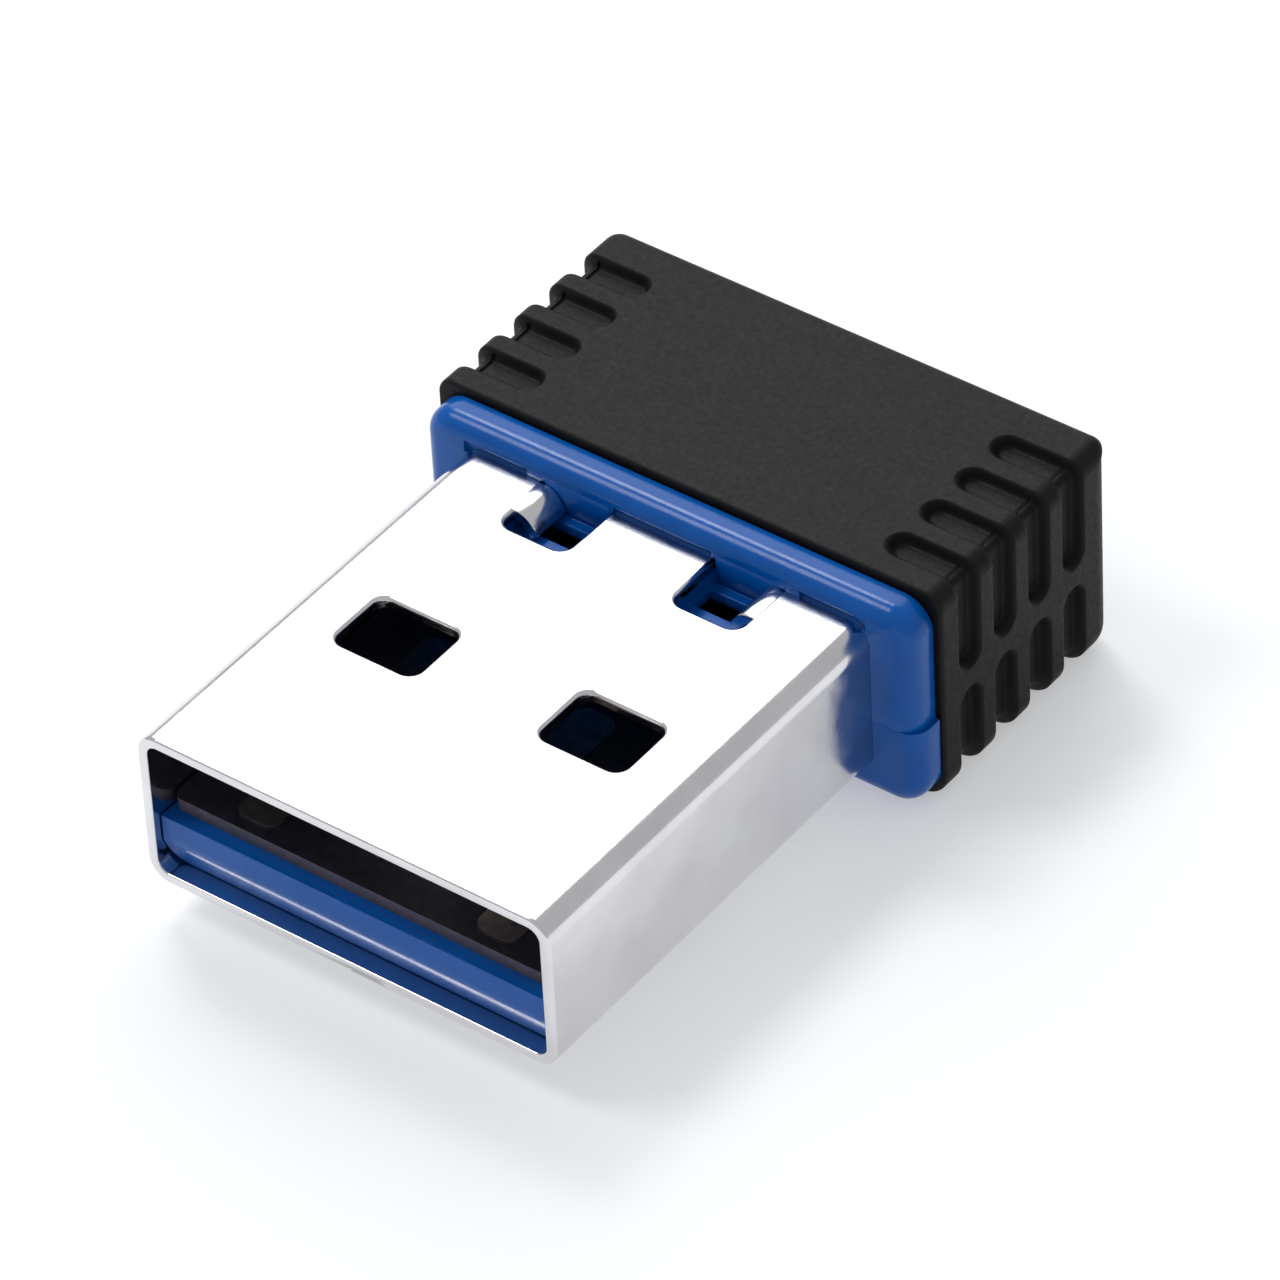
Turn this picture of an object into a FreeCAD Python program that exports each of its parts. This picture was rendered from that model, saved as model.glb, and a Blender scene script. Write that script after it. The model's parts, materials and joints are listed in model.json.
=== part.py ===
import FreeCAD, Part
import math
import os

# Nano USB WiFi adapter: a stamped USB-A plug shell on a two-part glossy carrier,
# with a ribbed rear cap that snaps over the carrier and covers the rear of the board.
#
# Millimetres. Origin on the plug's axis, in the plane of the collar's front face.
# -Y points out of the plug's mouth, +Y into the rear cap, +Z up.

V = FreeCAD.Vector
AXIS_X = V(1, 0, 0)
AXIS_Y = V(0, 1, 0)
AXIS_Z = V(0, 0, 1)

# How far a cutter reaches past the material, and how deep pieces of one solid run together.
CUT_MARGIN = 0.5
OVERLAP = 0.2

# ---- plug shell: standard USB-A size ----
SHELL_WIDTH = 12.0
SHELL_HEIGHT = 4.5
SHEET = 0.3
SHELL_CORNER = 0.62
MOUTH_Y = -12.4
SHELL_END_Y = 0.55
MOUTH_EDGE_ROUND = 0.1
SEAM_WIDTH = 0.06
SEAM_KEY_Y = (-9.3, -2.9)
SEAM_KEY_LENGTH = 1.6
SEAM_KEY_REACH = 0.6

# ---- latch windows, the same pair in the top and the bottom ----
WINDOW_WIDTH = 2.45
WINDOW_LENGTH = 1.95
WINDOW_X = 3.0
WINDOW_Y = -6.35
WINDOW_CORNER = 0.35

# ---- rear notches in the top, each with a bent locking tab ----
NOTCH_INNER_X = 1.55
NOTCH_OUTER_X = 3.5
NOTCH_FRONT_Y = -1.8
NOTCH_CORNER = 0.35
NOTCH_END_Y = 0.3
TAB_FRONT_Y = -1.2
TAB_BACK_Y = -0.03
TAB_BEND_X = 3.44
TAB_BEND_RADIUS = 0.22
TAB_BEND_ANGLE = 56.0
TAB_STRAIGHT = 0.38
TAB_ROOT = 0.2

# ---- circuit board ----
BOARD_TOP_Z = -0.05
BOARD_THICK = 0.35
BOARD_FRONT_Y = -11.75
BOARD_STEP_Y = 2.2
BOARD_END_Y = 6.9
BOARD_HALF = 5.64
BOARD_WIDE_HALF = 6.2
BOARD_CORNER = 0.3
COPPER = 0.05
PEG_X = 4.4
PEG_Y = -0.2
PEG_RADIUS = 0.4
PEG_HOLE_RADIUS = 0.45
PEG_ROOT_Z = -1.0
PEG_TOP_Z = 0.5
PEG_HOLE_TOP_Z = 0.6

# ---- plug contacts ----
CONTACT_WIDTH = 1.2
CONTACT_CORNER = 0.36
OUTER_CONTACT_X = 3.5
INNER_CONTACT_X = 1.0
OUTER_CONTACT_FRONT_Y = -11.4
INNER_CONTACT_FRONT_Y = -10.4
CONTACT_BACK_Y = -3.9

# ---- solder fillets from the board's edges up the shell's side walls ----
GROUND_JOINT_Y = (-3.8, -2.8)
GROUND_JOINT_RISE = 0.35
GROUND_JOINT_OVERLAP = 0.1

# ---- carrier: tongue under the board, block over it, collar around the shell ----
GAP = 0.03
TONGUE_HALF = 5.67
TONGUE_FRONT_Y = -12.15
TONGUE_TOP_ROUND = 0.15
TONGUE_BOTTOM_ROUND = 0.55
NOSE_LOW_Z = -1.15
NOSE_SET_BACK = 0.3
CHIP_POCKET_HALF = 3.6
CHIP_POCKET_FRONT_Y = -9.7
CHIP_POCKET_BACK_Y = 0.6
CHIP_POCKET_FLOOR_Z = -1.5
BLOCK_FRONT_Y = -2.4
SHELF_Z = 1.5
SHELF_FRONT_Y = -1.9
SHELF_INNER_X = 1.45
SHELF_OUTER_X = 3.6
HOLLOW_HALF = 3.8
HOLLOW_Y = (-2.2, 0.85)
HOLLOW_TOP_Z = 1.2
TAB_POCKET_X = (1.55, 3.4)
TAB_POCKET_Y = (-0.93, -0.25)
COLLAR_DEPTH = 0.9
UPPER_COLLAR_HALF = 7.2
UPPER_COLLAR_TOP_Z = 2.9
LOWER_COLLAR_HALF = 7.32
LOWER_COLLAR_BOTTOM_Z = -3.0
COLLAR_CORNER = 0.8
RING_SPLIT_Z = -0.6
COLLAR_FRONT_ROUND = 0.5
ENTRY_HEIGHT = 0.19
ENTRY_DEPTH = 0.12
ENTRY_INNER_X = 4.0
ENTRY_OUTER_X = 5.9
ENTRY_MIDDLE_HALF = 1.45
FLANGE_HALF = 6.7
FLANGE_HALF_HEIGHT = 2.4
FLANGE_END_Y = 2.05
CATCH_HALF = 2.0
CATCH_HEIGHT = 0.18
CATCH_Y = (1.3, 1.85)
RAIL_INNER_X = 4.3
RAIL_DEPTH = 0.85
RAIL_END_Y = 5.1

# ---- rear cap ----
CAP_HALF = 7.4
CAP_TOP_Z = 3.12
CAP_BOTTOM_Z = -3.22
CAP_FRONT_Y = 0.95
CAP_BACK_Y = 8.05
CAP_TOP_ROUND = 0.5
CAP_CORNER_ROUND = 0.75
CAP_FRONT_ROUND = 0.1
SOCKET_GAP = 0.05
SOCKET_END_Y = 2.2
CAVITY_HALF = 6.45
CAVITY_HALF_HEIGHT = 2.2
CAVITY_END_Y = 7.2
GROOVE_COUNT = 4
GROOVE_FIRST_Y = 2.07
GROOVE_PITCH = 1.42
GROOVE_WIDTH = 0.96
GROOVE_DEPTH = 0.3
GROOVE_INNER_X = 5.07
MID_RIB_Z = (-0.35, 0.15)

# ---- electronics: width along X, length along Y, height ----
WIFI_CHIP_SIDE = 6.0
WIFI_CHIP_HEIGHT = 0.85
WIFI_CHIP_Y = -5.7
CHIP_PADS_PER_SIDE = 12
CHIP_PAD_PITCH = 0.45
CHIP_PAD_WIDTH = 0.24
CHIP_PAD_LENGTH = 0.4
CHIP_PAD_PROUD = 0.03
CRYSTAL_SIZE = (2.5, 2.0, 0.6)
CRYSTAL_XY = (1.9, -1.05)
CRYSTAL_CORNER = 0.15
CRYSTAL_LID_INSET = 0.3
CRYSTAL_LID_Z = 0.3
CRYSTAL_BASE_HEIGHT = 0.36
SMALL_CHIP = (1.0, 0.5, 0.5)
CHIP_END_SHARE = 0.22
CHIP_END_PROUD = 0.03
REGULATOR_SIZE = (2.9, 1.6, 1.0)
REGULATOR_XY = (-3.2, 3.25)
REGULATOR_STANDOFF = 0.1
LEAD_PITCH = 0.95
LEAD_WIDTH = 0.4
LEAD_REACH = 0.35
LEAD_ROOT = 0.1
LEAD_HEIGHT = 0.15
INDUCTOR_SIZE = (2.0, 1.6, 1.0)
INDUCTOR_XY = (-0.35, 3.2)
INDUCTOR_CORNER = 0.2
INDUCTOR_BASE_HEIGHT = 0.35
INDUCTOR_LID_HEIGHT = 0.25
INDUCTOR_COIL_RADIUS = 0.67
INDUCTOR_COIL_Z = (0.3, 0.8)
BULK_CAPACITOR_SIZE = (1.25, 2.0, 0.9)
BULK_CAPACITOR_X = 5.47
BULK_CAPACITOR_Y = 3.2
RESISTOR_X = (-2.4, -1.0, 0.4, 1.8)
RESISTOR_Y = 2.7
FRONT_DECOUPLING_X = (-2.4, -0.8, 0.8, 2.4)
FRONT_DECOUPLING_GAP = 0.5
REAR_DECOUPLING_X = -2.6
REAR_DECOUPLING_GAPS = (0.9, 1.9)
LOAD_CAPACITOR_X = -0.3
LOAD_CAPACITOR_STEP = 0.6
FERRITE_SIZE = (1.6, 0.8, 0.8)
FERRITE_XY = (1.9, 2.7)
FILTER_SIZE = (1.6, 0.8, 0.6)
FILTER_XY = (3.9, 2.7)

# ---- printed antenna at the rear of the board ----
TRACE_WIDTH = 0.4
ANTENNA_LEFT_X = -4.6
ANTENNA_FEED_X = 4.6
ANTENNA_FRONT_Y = 4.7
ANTENNA_BACK_Y = 6.3
ANTENNA_STEPS = 8
ANTENNA_FEED_Y = 3.8
RF_PARTS_X = (2.2, 3.5)

SHELL_HALF = SHELL_WIDTH / 2
SHELL_HALF_HEIGHT = SHELL_HEIGHT / 2
INNER_HALF = SHELL_HALF - SHEET
INNER_HALF_HEIGHT = SHELL_HALF_HEIGHT - SHEET
BOARD_BOTTOM_Z = BOARD_TOP_Z - BOARD_THICK
SPLIT_Z = BOARD_BOTTOM_Z
FAR = 20.0


def box(x0, x1, y0, y1, z0, z1):
    return Part.makeBox(x1 - x0, y1 - y0, z1 - z0, V(x0, y0, z0))


def centred_box(x, y, width, length, z0, z1):
    return box(x - width / 2, x + width / 2, y - length / 2, y + length / 2, z0, z1)


def fillet(shape, radius, wanted):
    """Round the edges for which wanted(edge) is true."""
    edges = [edge for edge in shape.Edges if wanted(edge)]
    return shape.makeFillet(radius, edges)


def runs_along(edge, axis):
    """True for a straight edge parallel to the axis."""
    if len(edge.Vertexes) != 2 or edge.Curve.TypeId != "Part::GeomLine":
        return False
    return abs(edge.tangentAt(edge.FirstParameter).dot(axis)) > 0.999


def lies_at(edge, y=None, z=None):
    """True when the whole edge lies in the plane y or z."""
    bounds = edge.BoundBox
    if y is not None and (abs(bounds.YMin - y) > 1e-4 or abs(bounds.YMax - y) > 1e-4):
        return False
    if z is not None and (abs(bounds.ZMin - z) > 1e-4 or abs(bounds.ZMax - z) > 1e-4):
        return False
    return True


def rounded_bar(half, z0, z1, y0, y1, radius):
    """Bar along Y with a rounded rectangular section."""
    bar = box(-half, half, y0, y1, z0, z1)
    return fillet(bar, radius, lambda edge: runs_along(edge, AXIS_Y))


def rounded_prism(x, y, width, length, z0, z1, radius):
    """Upright prism whose four vertical edges are rounded."""
    prism = centred_box(x, y, width, length, z0, z1)
    return fillet(prism, radius, lambda edge: runs_along(edge, AXIS_Z))


def fused(solids):
    first, *rest = solids
    return first.fuse(rest).removeSplitter() if rest else first


def mirrored_x(shape):
    return shape.mirror(V(0, 0, 0), AXIS_X)


def both_sides(shape):
    return [shape, mirrored_x(shape)]


# ---------------------------------------------------------------- plug shell

def seam_slot():
    """Joint line of the folded sheet along the middle of the bottom, with two square keys."""
    half = SEAM_WIDTH / 2
    z0 = -SHELL_HALF_HEIGHT - CUT_MARGIN
    z1 = -INNER_HALF_HEIGHT + CUT_MARGIN
    pieces = []
    start = MOUTH_Y - CUT_MARGIN
    for key_y in SEAM_KEY_Y:
        low = key_y - SEAM_KEY_LENGTH / 2
        high = key_y + SEAM_KEY_LENGTH / 2
        pieces.append(box(-half, half, start, low + half, z0, z1))
        pieces.append(box(-half, SEAM_KEY_REACH + half, low - half, low + half, z0, z1))
        pieces.append(box(SEAM_KEY_REACH - half, SEAM_KEY_REACH + half, low, high, z0, z1))
        pieces.append(box(-half, SEAM_KEY_REACH + half, high - half, high + half, z0, z1))
        start = high - half
    pieces.append(box(-half, half, start, SHELL_END_Y + CUT_MARGIN, z0, z1))
    return fused(pieces)


def notch_space(inset, z0, z1):
    """Prism that fills one notch of the shell's top between two heights, inset all round."""
    width = NOTCH_OUTER_X - NOTCH_INNER_X - 2 * inset
    middle_x = (NOTCH_OUTER_X + NOTCH_INNER_X) / 2
    length = NOTCH_END_Y - NOTCH_FRONT_Y - 2 * inset
    middle_y = (NOTCH_END_Y + NOTCH_FRONT_Y) / 2
    return rounded_prism(middle_x, middle_y, width, length, z0, z1, NOTCH_CORNER - inset)


def bent_tab():
    """Strip of the sheet that bends down from the notch's outer edge towards the middle."""
    outer = TAB_BEND_RADIUS + SHEET
    inner = TAB_BEND_RADIUS
    centre = V(TAB_BEND_X, TAB_FRONT_Y, SHELL_HALF_HEIGHT - outer)

    def at(radius, degrees, along=0.0):
        angle = math.radians(90 + degrees)
        point = V(radius * math.cos(angle), 0, radius * math.sin(angle))
        travel = V(-math.sin(angle), 0, math.cos(angle)) * along
        return centre + point + travel

    root_top = V(NOTCH_OUTER_X + TAB_ROOT, TAB_FRONT_Y, SHELL_HALF_HEIGHT)
    root_under = V(NOTCH_OUTER_X + TAB_ROOT, TAB_FRONT_Y, INNER_HALF_HEIGHT)
    half_bend = TAB_BEND_ANGLE / 2
    edges = [
        Part.makeLine(root_top, at(outer, 0)),
        Part.Arc(at(outer, 0), at(outer, half_bend), at(outer, TAB_BEND_ANGLE)).toShape(),
        Part.makeLine(at(outer, TAB_BEND_ANGLE), at(outer, TAB_BEND_ANGLE, TAB_STRAIGHT)),
        Part.makeLine(at(outer, TAB_BEND_ANGLE, TAB_STRAIGHT), at(inner, TAB_BEND_ANGLE, TAB_STRAIGHT)),
        Part.makeLine(at(inner, TAB_BEND_ANGLE, TAB_STRAIGHT), at(inner, TAB_BEND_ANGLE)),
        Part.Arc(at(inner, TAB_BEND_ANGLE), at(inner, half_bend), at(inner, 0)).toShape(),
        Part.makeLine(at(inner, 0), root_under),
        Part.makeLine(root_under, root_top),
    ]
    face = Part.Face(Part.Wire(edges))
    return face.extrude(V(0, TAB_BACK_Y - TAB_FRONT_Y, 0))


def plug_shell():
    outer = rounded_bar(SHELL_HALF, -SHELL_HALF_HEIGHT, SHELL_HALF_HEIGHT,
                        MOUTH_Y, SHELL_END_Y, SHELL_CORNER)
    inner = rounded_bar(INNER_HALF, -INNER_HALF_HEIGHT, INNER_HALF_HEIGHT,
                        MOUTH_Y - CUT_MARGIN, SHELL_END_Y + CUT_MARGIN, SHELL_CORNER - SHEET)
    shell = outer.cut(inner)
    shell = fillet(shell, MOUTH_EDGE_ROUND, lambda edge: lies_at(edge, y=MOUTH_Y))
    reach = SHELL_HALF_HEIGHT + CUT_MARGIN
    window = rounded_prism(WINDOW_X, WINDOW_Y, WINDOW_WIDTH, WINDOW_LENGTH, -reach, reach, WINDOW_CORNER)
    notch = notch_space(0, INNER_HALF_HEIGHT - CUT_MARGIN, reach)
    for opening in both_sides(window) + both_sides(notch):
        shell = shell.cut(opening)
    for tab in both_sides(bent_tab()):
        shell = shell.fuse(tab)
    return shell.removeSplitter().cut(seam_slot())


# ---------------------------------------------------------------- carrier

def shell_envelope():
    """Space that the shell's sheet takes up inside the collar, with a little clearance."""
    outer = rounded_bar(SHELL_HALF + GAP, -SHELL_HALF_HEIGHT - GAP, SHELL_HALF_HEIGHT + GAP,
                        -CUT_MARGIN, SHELL_END_Y + GAP, SHELL_CORNER)
    inner = rounded_bar(INNER_HALF - GAP, -INNER_HALF_HEIGHT + GAP, INNER_HALF_HEIGHT - GAP,
                        -2 * CUT_MARGIN, SHELL_END_Y + CUT_MARGIN, SHELL_CORNER - SHEET)
    return outer.cut(inner)


def board_slot():
    """Space that the board takes up in the carrier."""
    half = INNER_HALF - GAP
    return box(-half, half, MOUTH_Y - CUT_MARGIN, FAR, BOARD_BOTTOM_Z, BOARD_TOP_Z + GAP)


def chip_pocket():
    """Hollow of the tongue that takes the parts on the board's underside."""
    return box(-CHIP_POCKET_HALF, CHIP_POCKET_HALF, CHIP_POCKET_FRONT_Y, CHIP_POCKET_BACK_Y,
               CHIP_POCKET_FLOOR_Z, 0)


def above_split():
    """Space of the upper carrier: the line between the halves steps down at the shell's sheet."""
    step_x = SHELL_HALF - SHEET / 2
    inside = box(-step_x, step_x, -FAR, FAR, SPLIT_Z, FAR)
    outside = box(step_x, FAR, -FAR, FAR, RING_SPLIT_Z, FAR)
    return inside.fuse(both_sides(outside))


def collar(half, split_z, outer_z):
    """One half of the collar: its outer corners and its front edges are rounded."""
    block = box(-half, half, 0, COLLAR_DEPTH, min(split_z, outer_z), max(split_z, outer_z))
    block = fillet(block, COLLAR_CORNER, lambda edge: runs_along(edge, AXIS_Y) and lies_at(edge, z=outer_z))
    return fillet(block, COLLAR_FRONT_ROUND,
                  lambda edge: lies_at(edge, y=0) and not lies_at(edge, z=split_z))


def flange():
    """Plate behind the collar that plugs into the cap, before it is divided between the halves."""
    return rounded_bar(FLANGE_HALF, -FLANGE_HALF_HEIGHT, FLANGE_HALF_HEIGHT,
                       COLLAR_DEPTH - OVERLAP, FLANGE_END_Y, COLLAR_CORNER)


def entry_slots():
    """Shallow openings in the collar's face over the three strips of the shell's top."""
    spans = [(-ENTRY_MIDDLE_HALF, ENTRY_MIDDLE_HALF), (ENTRY_INNER_X, ENTRY_OUTER_X),
             (-ENTRY_OUTER_X, -ENTRY_INNER_X)]
    top = SHELL_HALF_HEIGHT + ENTRY_HEIGHT
    return [box(x0, x1, -CUT_MARGIN, ENTRY_DEPTH, INNER_HALF_HEIGHT + SHEET / 2, top) for x0, x1 in spans]


def catch():
    """Snap ridge across the top of the flange, with a ramp towards the rear."""
    y0, y1 = CATCH_Y
    low = FLANGE_HALF_HEIGHT
    high = low + CATCH_HEIGHT
    profile = [(y0, low), (y0, high), ((y0 + y1) / 2, high), (y1, low), (y0, low)]
    outline = Part.makePolygon([V(-CATCH_HALF, y, z) for y, z in profile])
    return Part.Face(outline).extrude(V(2 * CATCH_HALF, 0, 0))


def tongue():
    bottom_z = -INNER_HALF_HEIGHT + GAP
    bar = box(-TONGUE_HALF, TONGUE_HALF, TONGUE_FRONT_Y, FLANGE_END_Y, bottom_z, BOARD_BOTTOM_Z)
    bar = fillet(bar, TONGUE_BOTTOM_ROUND,
                 lambda edge: runs_along(edge, AXIS_Y) and lies_at(edge, z=bottom_z))
    profile = [(TONGUE_FRONT_Y, NOSE_LOW_Z), (TONGUE_FRONT_Y + NOSE_SET_BACK, bottom_z),
               (TONGUE_FRONT_Y, bottom_z), (TONGUE_FRONT_Y, NOSE_LOW_Z)]
    under_nose = Part.Face(Part.makePolygon([V(-TONGUE_HALF, y, z) for y, z in profile]))
    bar = bar.cut(under_nose.extrude(V(2 * TONGUE_HALF, 0, 0)))
    return fillet(bar, TONGUE_TOP_ROUND, lambda edge: lies_at(edge, z=BOARD_BOTTOM_Z))


def pegs(radius, top_z):
    peg = Part.makeCylinder(radius, top_z - PEG_ROOT_Z, V(PEG_X, PEG_Y, PEG_ROOT_Z))
    return both_sides(peg)


def board_rail():
    """Shelf behind the flange that carries one side of the board's wide rear."""
    return box(RAIL_INNER_X, BOARD_WIDE_HALF, FLANGE_END_Y, RAIL_END_Y,
               BOARD_BOTTOM_Z - RAIL_DEPTH, BOARD_BOTTOM_Z)


def lower_carrier():
    front = collar(LOWER_COLLAR_HALF, SPLIT_Z, LOWER_COLLAR_BOTTOM_Z)
    front = front.fuse(flange().common(box(-FAR, FAR, -FAR, FAR, -FAR, SPLIT_Z)))
    ring = front.cut([shell_envelope(), above_split()])
    body = fused([ring, tongue()] + both_sides(board_rail()))
    body = body.cut([board_slot(), chip_pocket()])
    ridge = catch().mirror(V(0, 0, 0), AXIS_Z)
    return fused([body, ridge] + pegs(PEG_RADIUS, PEG_TOP_Z))


def shelf_cutter():
    """Recess under one notch of the shell, with the pocket down to the board that the tab hooks into."""
    top = SHELL_HALF_HEIGHT + GAP
    recess = box(SHELF_INNER_X, SHELF_OUTER_X, SHELF_FRONT_Y, 0, SHELF_Z, top)
    pocket = box(*TAB_POCKET_X, *TAB_POCKET_Y, BOARD_TOP_Z, top)
    return recess.fuse(pocket)


def notch_filler():
    """Bit of the collar's face that fills the rear end of one notch behind the bent tab."""
    filler = notch_space(GAP, INNER_HALF_HEIGHT - GAP, SHELL_HALF_HEIGHT + GAP)
    return filler.common(box(0, FAR, 0, FAR, -FAR, FAR))


def upper_carrier():
    front = collar(UPPER_COLLAR_HALF, RING_SPLIT_Z, UPPER_COLLAR_TOP_Z)
    ring = front.fuse(flange()).common(above_split())
    ring = ring.cut([shell_envelope()] + entry_slots())
    block = rounded_bar(TONGUE_HALF, PEG_ROOT_Z, INNER_HALF_HEIGHT - GAP,
                        BLOCK_FRONT_Y, COLLAR_DEPTH + OVERLAP, TONGUE_BOTTOM_ROUND)
    block = block.common(box(-FAR, FAR, -FAR, FAR, BOARD_TOP_Z + GAP, FAR))
    body = fused([ring, block] + both_sides(notch_filler()))
    hollow = box(-HOLLOW_HALF, HOLLOW_HALF, *HOLLOW_Y, BOARD_TOP_Z, HOLLOW_TOP_Z)
    peg_holes = pegs(PEG_HOLE_RADIUS, PEG_HOLE_TOP_Z)
    body = body.cut([hollow, board_slot()] + both_sides(shelf_cutter()) + peg_holes)
    return fused([body, catch()])


# ---------------------------------------------------------------- rear cap

def cap_block(inset):
    """The cap's outer form, or the same form inset all round by the grooves' depth."""
    half = CAP_HALF - inset
    top = CAP_TOP_Z - inset
    bottom = CAP_BOTTOM_Z + inset
    back = CAP_BACK_Y - inset
    block = box(-half, half, CAP_FRONT_Y, back, bottom, top)

    def is_big_corner(edge):
        if runs_along(edge, AXIS_Z) and lies_at(edge, y=back):
            return True
        return lies_at(edge, z=bottom) and not lies_at(edge, y=CAP_FRONT_Y)

    block = fillet(block, CAP_CORNER_ROUND - inset, is_big_corner)
    return fillet(block, CAP_TOP_ROUND - inset,
                  lambda edge: lies_at(edge, z=top) and not lies_at(edge, y=CAP_FRONT_Y))


def groove_region(y):
    """Finger groove's upper part on the +X side: from its round end on the top, over the edge,
    down to its round end above the middle rib."""
    radius = GROOVE_WIDTH / 2
    end_x = GROOVE_INNER_X + radius
    end_z = MID_RIB_Z[1] + radius
    over_edge = box(end_x, FAR, y - radius, y + radius, end_z, FAR)
    top_end = Part.makeCylinder(radius, FAR, V(end_x, y, CAP_TOP_Z - CUT_MARGIN), AXIS_Z)
    side_end = Part.makeCylinder(radius, FAR, V(CAP_HALF - CUT_MARGIN, y, end_z), AXIS_X)
    return over_edge.fuse([top_end, side_end])


def grooves():
    """Material to take away for every finger groove on both sides, top and bottom."""
    rib_middle = sum(MID_RIB_Z) / 2
    wall = cap_block(0).cut(cap_block(GROOVE_DEPTH))
    cutters = []
    for index in range(GROOVE_COUNT):
        upper = groove_region(GROOVE_FIRST_Y + index * GROOVE_PITCH)
        lower = upper.mirror(V(0, 0, rib_middle), AXIS_Z)
        for region in (upper, lower):
            cutters += both_sides(region.common(wall))
    return cutters


def rear_cap():
    cap = cap_block(0)
    cap = fillet(cap, CAP_FRONT_ROUND, lambda edge: lies_at(edge, y=CAP_FRONT_Y))
    socket_half = FLANGE_HALF + SOCKET_GAP
    socket_height = FLANGE_HALF_HEIGHT + SOCKET_GAP
    socket = rounded_bar(socket_half, -socket_height, socket_height,
                         CAP_FRONT_Y - CUT_MARGIN, SOCKET_END_Y, COLLAR_CORNER)
    cavity = rounded_bar(CAVITY_HALF, -CAVITY_HALF_HEIGHT, CAVITY_HALF_HEIGHT,
                         CAP_FRONT_Y, CAVITY_END_Y, COLLAR_CORNER)
    catch_height = FLANGE_HALF_HEIGHT + CATCH_HEIGHT + SOCKET_GAP
    catch_recess = box(-CATCH_HALF - SOCKET_GAP, CATCH_HALF + SOCKET_GAP,
                       CATCH_Y[0] - SOCKET_GAP, CATCH_Y[1] + SOCKET_GAP, -catch_height, catch_height)
    return cap.cut([socket, cavity, catch_recess] + grooves())


# ---------------------------------------------------------------- board and contacts

def circuit_board():
    front = box(-BOARD_HALF, BOARD_HALF, BOARD_FRONT_Y, BOARD_END_Y, BOARD_BOTTOM_Z, BOARD_TOP_Z)
    rear = box(-BOARD_WIDE_HALF, BOARD_WIDE_HALF, BOARD_STEP_Y, BOARD_END_Y, BOARD_BOTTOM_Z, BOARD_TOP_Z)
    board = fused([front, rear])
    board = fillet(board, BOARD_CORNER,
                   lambda edge: runs_along(edge, AXIS_Z)
                   and (lies_at(edge, y=BOARD_FRONT_Y) or lies_at(edge, y=BOARD_END_Y)))
    return board.cut(pegs(PEG_HOLE_RADIUS, PEG_HOLE_TOP_Z))


def contact(x, front_y):
    """Gold-plated pad with round ends on the board's top."""
    length = CONTACT_BACK_Y - front_y
    middle_y = (CONTACT_BACK_Y + front_y) / 2
    top = BOARD_TOP_Z + COPPER
    return rounded_prism(x, middle_y, CONTACT_WIDTH, length, BOARD_TOP_Z, top, CONTACT_CORNER)


def shell_ground_joints():
    """Two solder fillets between the board's plated edges and the shell's side walls."""
    y0, y1 = GROUND_JOINT_Y
    low = BOARD_BOTTOM_Z + GROUND_JOINT_OVERLAP
    profile = [(BOARD_HALF, low), (INNER_HALF, low), (INNER_HALF, BOARD_TOP_Z + GROUND_JOINT_RISE),
               (BOARD_HALF, BOARD_TOP_Z), (BOARD_HALF, low)]
    outline = Part.makePolygon([V(x, y0, z) for x, z in profile])
    joint = Part.Face(outline).extrude(V(0, y1 - y0, 0))
    return Part.makeCompound(both_sides(joint))


def antenna_trace():
    """Meandering printed trace with a feed leg that runs forward to the matching parts."""
    half = TRACE_WIDTH / 2
    z0 = BOARD_TOP_Z
    z1 = BOARD_TOP_Z + COPPER
    step = (ANTENNA_FEED_X - ANTENNA_LEFT_X) / ANTENNA_STEPS
    pieces = [box(ANTENNA_FEED_X - half, ANTENNA_FEED_X + half, ANTENNA_FEED_Y,
                  ANTENNA_BACK_Y + half, z0, z1)]
    for index in range(ANTENNA_STEPS):
        left_x = ANTENNA_FEED_X - (index + 1) * step
        cross_y = ANTENNA_BACK_Y if index % 2 == 0 else ANTENNA_FRONT_Y
        pieces.append(box(left_x - half, left_x + step + half, cross_y - half, cross_y + half, z0, z1))
        pieces.append(box(left_x - half, left_x + half,
                          ANTENNA_FRONT_Y - half, ANTENNA_BACK_Y + half, z0, z1))
    return fused(pieces)


# ---------------------------------------------------------------- components on the board

def on_top(shape):
    shape.translate(V(0, 0, BOARD_TOP_Z))
    return shape


def underneath(shape):
    flipped = shape.mirror(V(0, 0, 0), AXIS_Z)
    flipped.translate(V(0, 0, BOARD_BOTTOM_Z))
    return flipped


def end_capped_chip(x, y, size):
    """Ceramic chip part: a body between two slightly larger metal ends along its longer side."""
    width, length, height = size
    proud = CHIP_END_PROUD
    pieces = [centred_box(x, y, width - 2 * proud, length - 2 * proud, proud, height - proud)]
    end = max(width, length) * CHIP_END_SHARE
    shift = (max(width, length) - end) / 2
    for side in (-1, 1):
        if width >= length:
            pieces.append(centred_box(x + side * shift, y, end, length, 0, height))
        else:
            pieces.append(centred_box(x, y + side * shift, width, end, 0, height))
    return fused(pieces)


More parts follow.
